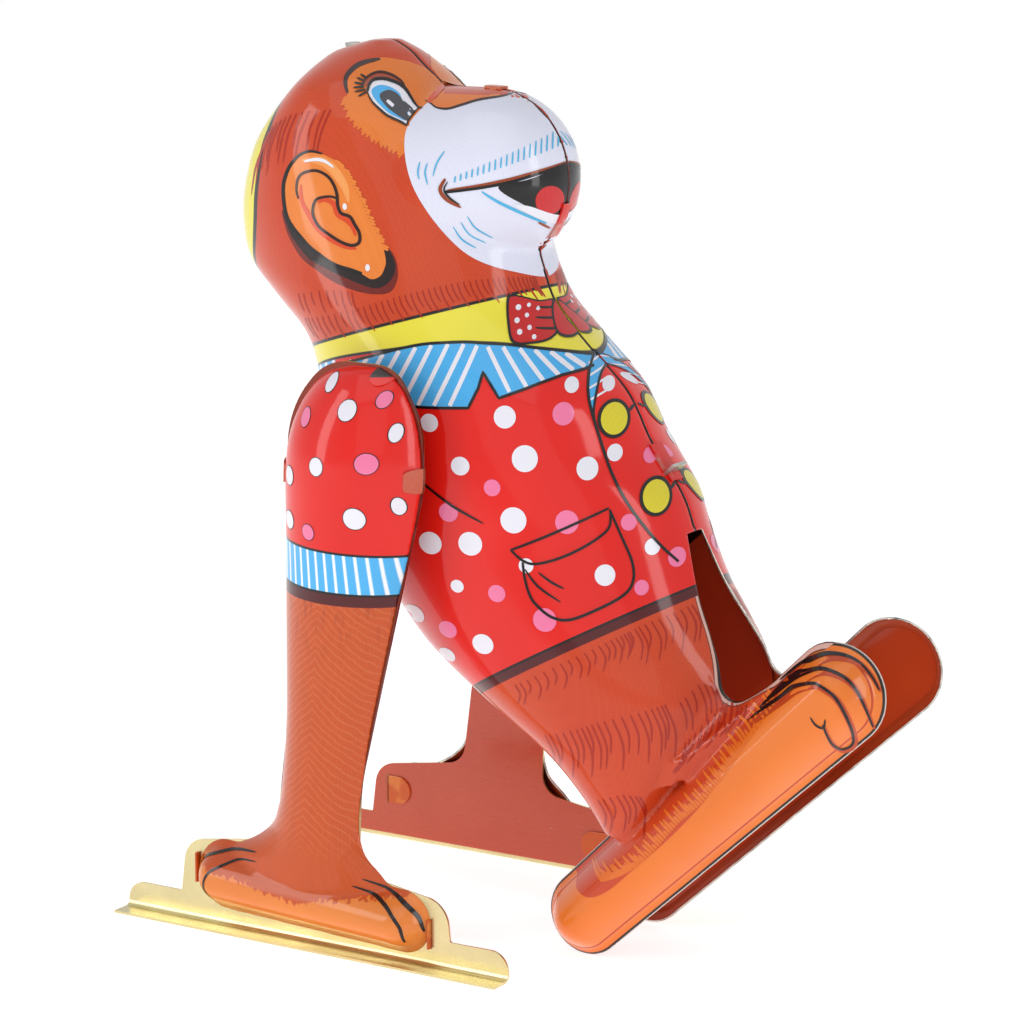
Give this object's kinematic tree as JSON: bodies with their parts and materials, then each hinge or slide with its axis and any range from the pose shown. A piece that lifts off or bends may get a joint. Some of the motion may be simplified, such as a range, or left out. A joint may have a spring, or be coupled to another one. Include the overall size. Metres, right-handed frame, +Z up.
{
  "type": "wind-up tin tumbling monkey",
  "caption": "Clockwork tin monkey in a spotted jacket that sits on its heels and flat-footed arms and somersaults when the arms unwind.",
  "frame": {"origin": "on the floor under the middle of the toy", "axes": "+Z up, -Y the way the monkey faces, +X its left side"},
  "size_m": [0.0716, 0.1267, 0.1399],
  "materials": {
    "printed_body": "glossy lithographed tin",
    "pan_lacquer": "glossy dark red lacquer",
    "printed_arm": "glossy lithographed tin",
    "arm_plate_gold": "gold lacquered tin, red on the body side",
    "bare_tin": "folded tin",
    "motor_steel": "satin",
    "wheel_brass": "satin",
    "spring_steel": "blued"
  },
  "bodies": {
    "toy_body": {"left_body_shell": "printed_body", "right_body_shell": "printed_body", "left_leg_pan": "pan_lacquer", "right_leg_pan": "pan_lacquer", "head_tab": "bare_tin", "nose_tab": "bare_tin", "mouth_tab": "bare_tin", "chest_tab": "bare_tin", "chest_stay": "bare_tin", "left_shoulder_bush": "motor_steel", "right_shoulder_bush": "motor_steel", "left_motor_plate": "motor_steel", "right_motor_plate": "motor_steel", "motor_pillars": "motor_steel", "mainspring": "spring_steel"},
    "arms": {"arm_shaft": "motor_steel", "left_arm_shell": "printed_arm", "right_arm_shell": "printed_arm", "left_arm_plate": "arm_plate_gold", "right_arm_plate": "arm_plate_gold", "left_arm_hub": "motor_steel", "right_arm_hub": "motor_steel", "left_shoulder_washer": "motor_steel", "right_shoulder_washer": "motor_steel", "spring_collar": "motor_steel", "ratchet_wheel": "motor_steel"},
    "great_wheel_group": {"great_wheel": "wheel_brass", "click_rivet": "motor_steel", "click_spring": "spring_steel"},
    "click": {"click": "motor_steel"},
    "second_group": {"second_arbor": "motor_steel", "second_pinion": "wheel_brass", "second_wheel": "wheel_brass"},
    "third_group": {"third_arbor": "motor_steel", "third_pinion": "wheel_brass", "third_wheel": "wheel_brass"},
    "governor_group": {"governor_arbor": "motor_steel", "governor_pinion": "wheel_brass", "governor_disc": "motor_steel"}
  },
  "joints": [
    {"name": "arm_turn", "type": "hinge", "parent": "toy_body", "child": "arms", "pos_m": [0, 0.0175, 0.0807], "axis": [1, 0, 0], "continuous": true},
    {"name": "great_wheel_turn", "type": "hinge", "parent": "toy_body", "child": "great_wheel_group", "pos_m": [0, 0.0175, 0.0807], "axis": [1, 0, 0], "continuous": true},
    {"name": "click_rock", "type": "hinge", "parent": "great_wheel_group", "child": "click", "pos_m": [0, 0.01594, 0.08956], "axis": [1, 0, 0], "range_deg": [0, 8]},
    {"name": "second_turn", "type": "hinge", "parent": "toy_body", "child": "second_group", "pos_m": [0, 0.00513, 0.06833], "axis": [1, 0, 0], "continuous": true},
    {"name": "third_turn", "type": "hinge", "parent": "toy_body", "child": "third_group", "pos_m": [0, -0.00598, 0.07765], "axis": [1, 0, 0], "continuous": true},
    {"name": "governor_turn", "type": "hinge", "parent": "toy_body", "child": "governor_group", "pos_m": [0, -0.00212, 0.08953], "axis": [1, 0, 0], "continuous": true}
  ],
  "couplings": [
    {"joint": "great_wheel_turn", "follows": "arm_turn", "ratio": 1},
    {"joint": "second_turn", "follows": "arm_turn", "ratio": -6},
    {"joint": "third_turn", "follows": "arm_turn", "ratio": 28.8},
    {"joint": "governor_turn", "follows": "arm_turn", "ratio": -115.2}
  ]
}
